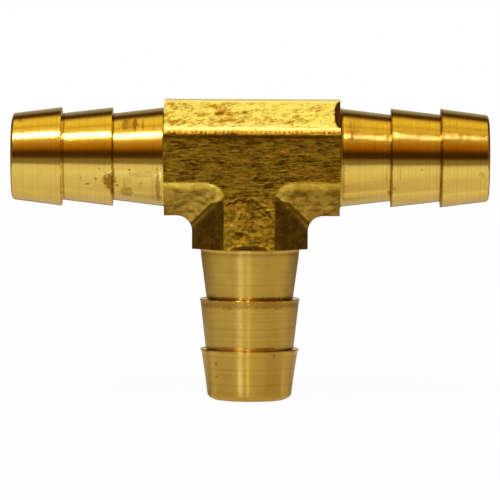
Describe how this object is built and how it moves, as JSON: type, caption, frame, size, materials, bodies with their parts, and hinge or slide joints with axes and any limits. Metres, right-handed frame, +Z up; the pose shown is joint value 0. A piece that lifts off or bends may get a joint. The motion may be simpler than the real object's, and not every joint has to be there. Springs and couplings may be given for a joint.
{
  "type": "barbed tee connector",
  "caption": "Brass hose tee with a forged octagonal body and turned, barbed hose stems on the run and the branch, joining hoses in a water line.",
  "frame": {"origin": "crossing of the run axis and the branch axis, in the middle of the body", "axes": "+X along the run, +Y towards the back flat, +Z up, with the branch pointing down along -Z"},
  "size_m": [0.0522, 0.012, 0.0329],
  "materials": {
    "forged_brass": "as forged, slightly rough",
    "turned_brass": "turned, bright"
  },
  "bodies": {
    "root": {"tee_body": "forged_brass", "left_stem": "turned_brass", "right_stem": "turned_brass", "branch_stem": "turned_brass"}
  },
  "joints": []
}
